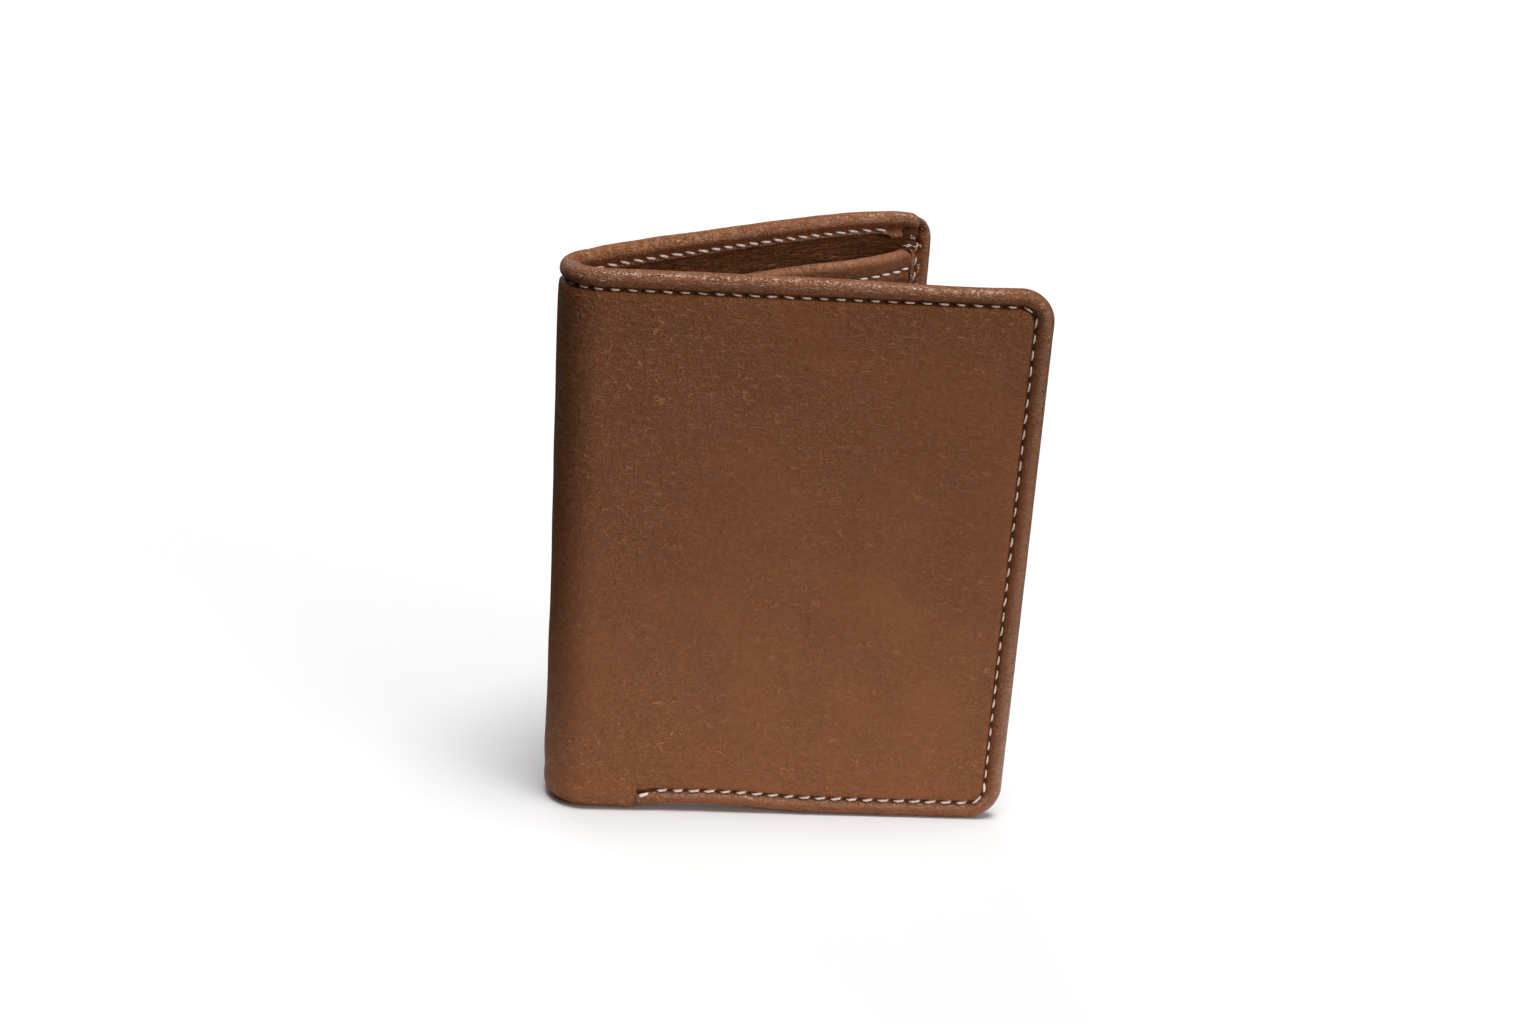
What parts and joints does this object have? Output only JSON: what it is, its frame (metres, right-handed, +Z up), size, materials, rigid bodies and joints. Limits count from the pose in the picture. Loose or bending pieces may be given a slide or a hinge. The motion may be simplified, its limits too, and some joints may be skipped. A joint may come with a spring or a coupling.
{
  "type": "bifold wallet",
  "caption": "Upright bifold leather wallet with a soft vertical spine, a note compartment open at the top, and stacked card pockets inside each half.",
  "frame": {"origin": "centre of the overall box on the surface the wallet stands on", "axes": "+Z up along the spine, +X from the spine to the rear half's free edge, +Y out of the rear half's outer face"},
  "size_m": [0.0977, 0.0622, 0.12],
  "materials": {
    "outer_leather": "smooth tan brown, fine grain",
    "lining_leather": "dark brown, fine wrinkles",
    "pocket_leather": "thin tan brown",
    "board": "bonded leather board",
    "thread": "waxed thread"
  },
  "bodies": {
    "rear_half": {"rear_shell": "outer_leather", "rear_board": "board", "rear_lining": "lining_leather", "rear_thread": "thread", "rear_panel": "lining_leather", "rear_facing": "outer_leather", "rear_facing_thread": "thread", "rear_pocket_1": "pocket_leather", "rear_pocket_2": "pocket_leather", "rear_pocket_3": "pocket_leather"},
    "spine_rear": {"spine_rear_shell": "outer_leather", "spine_rear_lining": "lining_leather", "spine_rear_thread": "thread"},
    "spine_mid": {"spine_mid_shell": "outer_leather", "spine_mid_lining": "lining_leather", "spine_mid_thread": "thread"},
    "spine_front": {"spine_front_shell": "outer_leather", "spine_front_lining": "lining_leather", "spine_front_thread": "thread"},
    "front_half": {"front_shell": "outer_leather", "front_board": "board", "front_lining": "lining_leather", "front_thread": "thread", "front_panel": "lining_leather", "front_facing": "outer_leather", "front_facing_thread": "thread", "front_pocket_1": "pocket_leather", "front_pocket_2": "pocket_leather", "front_pocket_3": "pocket_leather"}
  },
  "joints": [
    {"name": "rear_fold", "type": "hinge", "parent": "rear_half", "child": "spine_rear", "pos_m": [-0.04013, 0.03114, 0.06], "axis": [0, 0, -1], "range_deg": [-5.16, 24.83]},
    {"name": "spine_fold_1", "type": "hinge", "parent": "spine_rear", "child": "spine_mid", "pos_m": [-0.04688, 0.02802, 0.06], "axis": [0, 0, -1], "range_deg": [-10.33, 49.66]},
    {"name": "spine_fold_2", "type": "hinge", "parent": "spine_mid", "child": "spine_front", "pos_m": [-0.04887, 0.02085, 0.06], "axis": [0, 0, -1], "range_deg": [-10.33, 49.66]},
    {"name": "front_fold", "type": "hinge", "parent": "spine_front", "child": "front_half", "pos_m": [-0.04469, 0.0147, 0.06], "axis": [0, 0, -1], "range_deg": [-5.17, 24.83]}
  ],
  "couplings": [
    {"joint": "spine_fold_1", "follows": "rear_fold", "ratio": 2},
    {"joint": "spine_fold_2", "follows": "rear_fold", "ratio": 2},
    {"joint": "front_fold", "follows": "rear_fold", "ratio": 1}
  ]
}
